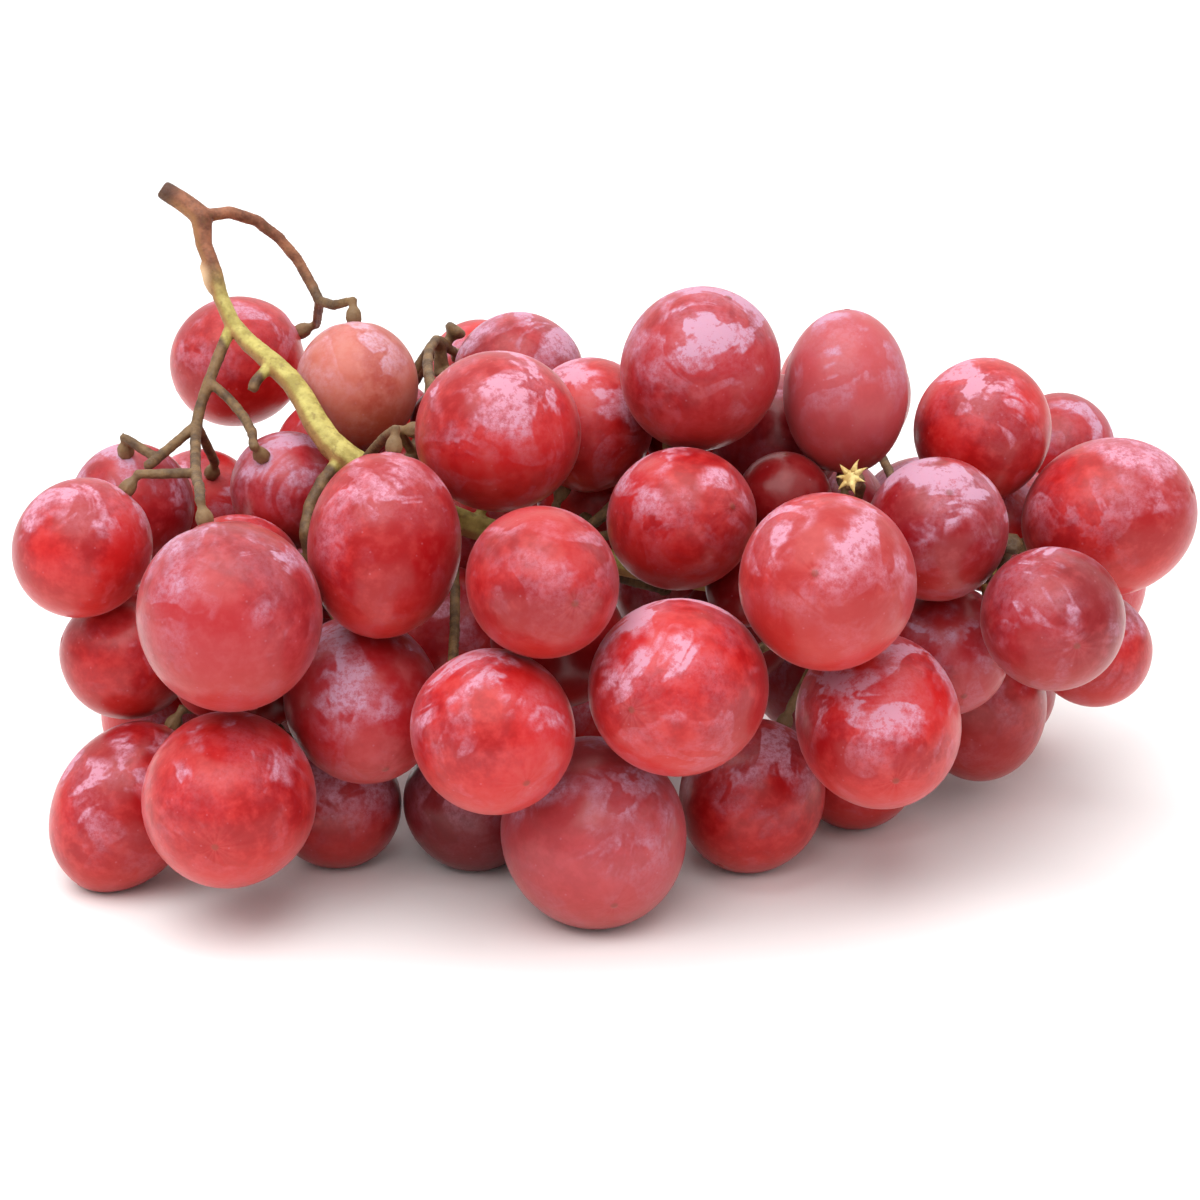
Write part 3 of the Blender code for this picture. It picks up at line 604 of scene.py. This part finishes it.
# %% Slim the cups and lift the bark
CUP_SHRINK = 0.3  # share by which a real cup is slimmer than the solid's
CUP_REACH = 0.6  # how far it reaches on to touch the grape
CUP_SIDE, CUP_CLEAR = 2.4, 3.2  # how far from the grape's axis a place is still on the cup, and surely off it
CUP_HALF, CUP_END = 1.2, 2.4  # the same along the axis, from a level one millimetre above the grape's end
PEELED = DRAWN_SHIFT + np.array([-61.5, 22, 81])  # the middle of the strip
PEEL_WIDTH, PEEL_EDGE, PEEL_LIFT = 1.3, 2.3, 0.8
for middle, axis, half_length in zip(MIDDLES, AXES, HALF_LENGTHS):
    offset = places - (middle - axis * half_length)
    height = -offset @ axis  # above the grape's end
    aside = offset + height[:, None] * axis
    share = 1 - eased(np.linalg.norm(aside, axis=1), CUP_SIDE, CUP_CLEAR)
    share *= 1 - eased(np.abs(height - 1.0), CUP_HALF, CUP_END)
    drawn_out = CUP_REACH * share * eased(height, 1.6, 0.3)
    places -= CUP_SHRINK * share[:, None] * aside - drawn_out[:, None] * axis
from_peeled = np.linalg.norm((places - PEELED) * (1, 1, 0.6), axis=1)
peeled = 1 - eased(from_peeled, PEEL_WIDTH, PEEL_EDGE)
places[:, 0] -= PEEL_LIFT * peeled
stalk.data.vertices.foreach_set("co", (places * MM).ravel())
stalk.data.update()
print("cups slimmed:", len(MIDDLES), "and points of the bark lifted:", int((peeled > 0).sum()))

# %% [markdown]
# Where a place is on the stalk decides its colour. The wood is brown near the cut end and dark on the cut, and the
# main stalk turns yellow green further in, with a painted shade that browns its side facing left and down. Cups
# are warty and tan, what lies deep among the grapes gets a painted shade, and the strip of bark is pale. Each of
# these becomes an attribute between 0 and 1, which the material can read point by point. Painting by hand would
# need a picture, and this needs none.

# %% Mark the parts of the stalk
CROWDED = 9  # a skin this near counts as one more grape around a place
cups = MIDDLES - AXES * (HALF_LENGTHS[:, None] + 0.8)
from_cup = np.min([np.linalg.norm(places - cup, axis=1) for cup in cups], axis=0)
normals = np.zeros(3 * len(stalk.data.vertices))
stalk.data.vertices.foreach_get("normal", normals)
left_and_down = normals.reshape(-1, 3) @ np.array([-0.6, 0.1, -0.8])
surrounded = np.sum([skin_distance(places, i) < CROWDED for i in range(len(GRAPES))], axis=0)
add_attribute(stalk.data, "green", "FLOAT", on_main * eased(along_stalk, 14, 24))
woody = 1 - eased(along_stalk, 14, 26) * on_main - 0.75 * (1 - on_main) * eased(along_stalk, 12, 30)
add_attribute(stalk.data, "woody", "FLOAT", woody)
# Painted shade: the main stalk is browner on its side that faces left and down.
painted_side_shade = 0.85 * on_main * eased(left_and_down, -0.4, 0.35)
add_attribute(stalk.data, "painted_side_shade", "FLOAT", painted_side_shade)
add_attribute(stalk.data, "peeled", "FLOAT", 0.9 * peeled)
from_cut = np.linalg.norm(places - MAIN_STALK[0], axis=1)
add_attribute(stalk.data, "dark_end", "FLOAT", 0.8 * (1 - eased(from_cut, 1.6, 4.0)))
add_attribute(stalk.data, "cup", "FLOAT", 1 - eased(from_cup, 1.6, 3.2))
# Painted shade: the stalk darkens where grapes crowd round it.
add_attribute(stalk.data, "inside", "FLOAT", 0.75 * eased(surrounded, 3, 6))
print("attributes of the stalk:", len(stalk.data.attributes))

# %% [markdown]
# Bark is rough at two scales: warts and scars about a millimetre wide, and fine grain. The bigger ones are real
# relief, pushed in and out along the normals by a cloud texture, and the finer ones are left to the bump. The
# colour starts from three woods with the same blotches: thin twigs, brown wood and the fresh main stalk. The
# attributes of the cell before this one blend them, and then lay the painted side shade, the cups, the dark
# flecks, the painted shade inside the bunch, the dark cut and the pale strip over them.

# %% Relief and bark
WART_SIZE, WART_RISE = 1.6 * MM, 0.18 * MM
warts = bpy.data.textures.new("warts", "CLOUDS")
warts.noise_scale = WART_SIZE
apply_modifier(stalk, "DISPLACE", texture=warts, strength=WART_RISE, mid_level=0.45, texture_coords="LOCAL")

bark = bpy.data.materials.new("stalk")
bark.use_nodes = True
tree = bark.node_tree
shader = tree.nodes["Principled BSDF"]
place = millimetres(tree)
blotches = noise(tree, place, 0.35, detail=3, roughness=0.65)
flecks = ramped(tree, noise(tree, place, 0.9, detail=2, roughness=0.6), 0.56, 0.68)
fine = noise(tree, place, 3.2, detail=2, roughness=0.7)
blotched = ramped(tree, blotches, 0.32, 0.68)
twig = mixed(tree, blotched, (0.06, 0.038, 0.014, 1), (0.18, 0.125, 0.045, 1))
brown = mixed(tree, blotched, (0.13, 0.038, 0.016, 1), (0.34, 0.125, 0.06, 1))
fresh = mixed(tree, blotched, (0.32, 0.25, 0.05, 1), (0.56, 0.48, 0.13, 1))
colour = mixed(tree, attribute(tree, "woody"), twig, brown)
colour = mixed(tree, attribute(tree, "green"), colour, fresh)
side_shade_brown, cup, fleck = (0.34, 0.15, 0.05, 1), (0.24, 0.14, 0.06, 1), (0.14, 0.07, 0.02, 1)
shade, cut, peel = (0.07, 0.035, 0.014, 1), (0.05, 0.02, 0.012, 1), (0.80, 0.55, 0.33, 1)
colour = mixed(tree, attribute(tree, "painted_side_shade"), colour, side_shade_brown)
colour = mixed(tree, sums(tree, "MULTIPLY", attribute(tree, "cup"), 0.6), colour, cup)
colour = mixed(tree, sums(tree, "MULTIPLY", flecks, 0.35), colour, fleck)
colour = mixed(tree, attribute(tree, "inside"), colour, shade)
colour = mixed(tree, attribute(tree, "dark_end"), colour, cut)
colour = mixed(tree, attribute(tree, "peeled"), colour, peel)
tree.links.new(colour, shader.inputs["Base Color"])
tree.links.new(ramped(tree, fine, 0.3, 0.7, 0.5, 0.75), shader.inputs["Roughness"])
bump = add(tree, "ShaderNodeBump", {"Height": fine, "Strength": 0.5, "Distance": 0.2 * MM})
tree.links.new(bump.outputs["Normal"], shader.inputs["Normal"])
stalk.data.materials.clear()
stalk.data.materials.append(bark)
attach(stalk, "root")
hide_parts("stalk")
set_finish(stalk, "stalk")
print("bark:", len(tree.nodes), "nodes")

# %% [markdown]
# Where a grape has been pulled off, its stalk keeps a star of dried hooked points round a pale middle. The one
# that shows best is made here: one point is a thin cone whose tip is pulled over, seven copies of it stand in a
# ring, and a flattened ball closes the middle. Modelling one point and copying it keeps the star regular, as it
# grew, and the copies' seeded sizes and leans keep it from looking stamped.

# %% The dry star on a bare end
STAR_MIDDLE = DRAWN_SHIFT + np.array([37, -12, 60])
STAR_FACING = np.array([-0.5, -0.6, 0.6])
POINTS, POINT_LENGTH, POINT_RADIUS = 7, 2.2, 0.55
HOOK = (1.0, 0, -0.5)  # how far the tip of a point is pulled over
HUB_RADIUS, HUB_FLATNESS = 1.35, 0.45
RING_RADIUS = 0.9  # where the points are rooted
dice = np.random.default_rng(7)
deselect_all()
bpy.ops.mesh.primitive_cone_add(
    vertices=8, radius1=POINT_RADIUS, depth=POINT_LENGTH, location=(0, 0, POINT_LENGTH / 2)
)
point = bpy.context.object
bpy.ops.object.transform_apply(location=True)
bpy.ops.object.mode_set(mode="EDIT")
bpy.ops.mesh.subdivide(number_cuts=3)
select_points(point, lambda place: place.z > POINT_LENGTH - 0.01)
bpy.ops.transform.translate(
    value=HOOK, use_proportional_edit=True, proportional_edit_falloff="SHARP", proportional_size=POINT_LENGTH
)
bpy.ops.object.mode_set(mode="OBJECT")
bpy.ops.mesh.primitive_uv_sphere_add(segments=16, ring_count=10, radius=HUB_RADIUS)
star = bpy.context.object
star.name = "dry_star"
star.data.transform(Matrix.Diagonal((1, 1, HUB_FLATNESS, 1)))
parts = [star]
for k in range(POINTS):
    copy = bpy.data.objects.new("point", point.data.copy())
    bpy.context.scene.collection.objects.link(copy)
    lean = Matrix.Rotation(math.radians(dice.uniform(48, 72)), 4, "Y")
    around = Matrix.Rotation(2 * math.pi * (k + dice.uniform(-0.2, 0.2)) / POINTS, 4, "Z")
    resized = Matrix.Scale(dice.uniform(0.8, 1.15), 4)
    copy.data.transform(around @ Matrix.Translation((RING_RADIUS, 0, 0)) @ lean @ resized)
    parts.append(copy)
bpy.data.objects.remove(point)
deselect_all()
for obj in parts:
    obj.select_set(True)
bpy.context.view_layer.objects.active = star
bpy.ops.object.join()
turn = Vector((0, 0, 1)).rotation_difference(Vector(STAR_FACING)).to_matrix().to_4x4()
star.data.transform(Matrix.Scale(MM, 4) @ Matrix.Translation(STAR_MIDDLE) @ turn)
bpy.ops.object.shade_smooth()
dry = bpy.data.materials.new("dry_star")
dry.use_nodes = True
tree = dry.node_tree
speckle = noise(tree, millimetres(tree), 0.9, detail=2)
colour = mixed(tree, ramped(tree, speckle, 0.35, 0.65), (0.52, 0.34, 0.10, 1), (0.78, 0.64, 0.26, 1))
tree.links.new(colour, tree.nodes["Principled BSDF"].inputs["Base Color"])
tree.links.new(ramped(tree, speckle, 0.3, 0.7, 0.55, 0.75), tree.nodes["Principled BSDF"].inputs["Roughness"])
star.data.materials.clear()
star.data.materials.append(dry)
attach(star, "root")
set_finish(star, "stalk")
print("dry star:", len(star.data.polygons), "faces")

# %% [markdown]
# The camera looks down on the bunch by twenty degrees from well back, which keeps the near and the far grapes at
# nearly one scale, as in the photo. Its angle of view comes from the photo's width and from how large the grapes
# are in it.

# %% The camera
VIEW_DOWN = math.radians(20)
VIEW_DISTANCE = 0.4523
LOOK_AT = Vector((0, 0, 0.0365)) + Vector(DRAWN_SHIFT) * MM
PHOTO_WIDTH, FOCAL_LENGTH = 1200, 2940  # in the photo's pixels
VIEW_ANGLE = 2 * math.atan(PHOTO_WIDTH / 2 / FOCAL_LENGTH)

camera_data = bpy.data.cameras.new("camera")
camera_data.angle = VIEW_ANGLE
camera = bpy.data.objects.new("camera", camera_data)
bpy.context.scene.collection.objects.link(camera)
camera.location = LOOK_AT + VIEW_DISTANCE * Vector((0, -math.cos(VIEW_DOWN), math.sin(VIEW_DOWN)))
camera.rotation_euler = (math.pi / 2 - VIEW_DOWN, 0, 0)
bpy.context.scene.camera = camera
print("camera", [round(c, 3) for c in camera.location], "looks at", [round(c, 3) for c in LOOK_AT])

# %% [markdown]
# The bunch lies on a white surface that runs out of sight. It is scenery and not a piece of the bunch, so it is
# not attached to it. It lies a tenth of a millimetre low, so that it never flickers through the pressed flats.

# %% The white surface
deselect_all()
bpy.ops.mesh.primitive_plane_add(size=12, location=(0, 0, -0.0001))
surface = bpy.context.object
surface.name = "white_surface"
white = bpy.data.materials.new("white_surface")
white.use_nodes = True
shader = white.node_tree.nodes["Principled BSDF"]
shader.inputs["Base Color"].default_value = (0.95, 0.945, 0.94, 1)
shader.inputs["Roughness"].default_value = 0.7
surface.data.materials.append(white)
print("surface:", [round(c, 1) for c in surface.dimensions])

# %% [markdown]
# The sky is white, brightest overhead and behind the bunch and dimmer toward the camera, as in a studio, so the
# tops of the grapes are pale and their fronts keep their red. One large soft lamp above gives the soft pink
# shadow. The light is let bounce only a few times, because more bounces take longer and hardly show here.

# %% The sky and the lamp
sky = bpy.data.worlds.new("white_sky")
sky.use_nodes = True
tree = sky.node_tree
way = add(tree, "ShaderNodeSeparateXYZ", {"Vector": add(tree, "ShaderNodeTexCoord").outputs["Generated"]}).outputs
from_above = ramped(tree, way["Z"], -0.1, 0.8, 0.24, 1.15)
from_behind = ramped(tree, way["Y"], -0.3, 0.9, 0.0, 0.4)
brightness = sums(tree, "ADD", from_above, from_behind)
tree.links.new(brightness, tree.nodes["Background"].inputs["Strength"])
tree.nodes["Background"].inputs["Color"].default_value = (1, 1, 1, 1)
bpy.context.scene.world = sky


def add_lamp(name, place, size, power):
    """A square soft lamp that shines at the bunch."""
    lamp_data = bpy.data.lights.new(name, "AREA")
    lamp_data.size = size
    lamp_data.energy = power
    lamp = bpy.data.objects.new(name, lamp_data)
    bpy.context.scene.collection.objects.link(lamp)
    lamp.location = place
    lamp.rotation_euler = (LOOK_AT - Vector(place)).to_track_quat("-Z", "Y").to_euler()


add_lamp("soft_lamp_above", (-0.15, -0.3, 0.8), 0.9, 6.5)
bpy.context.scene.view_settings.view_transform = "Standard"
cycles = bpy.context.scene.cycles
cycles.max_bounces, cycles.diffuse_bounces, cycles.glossy_bounces = 4, 2, 2
print("light: a sky and", len(bpy.data.lights), "lamp")
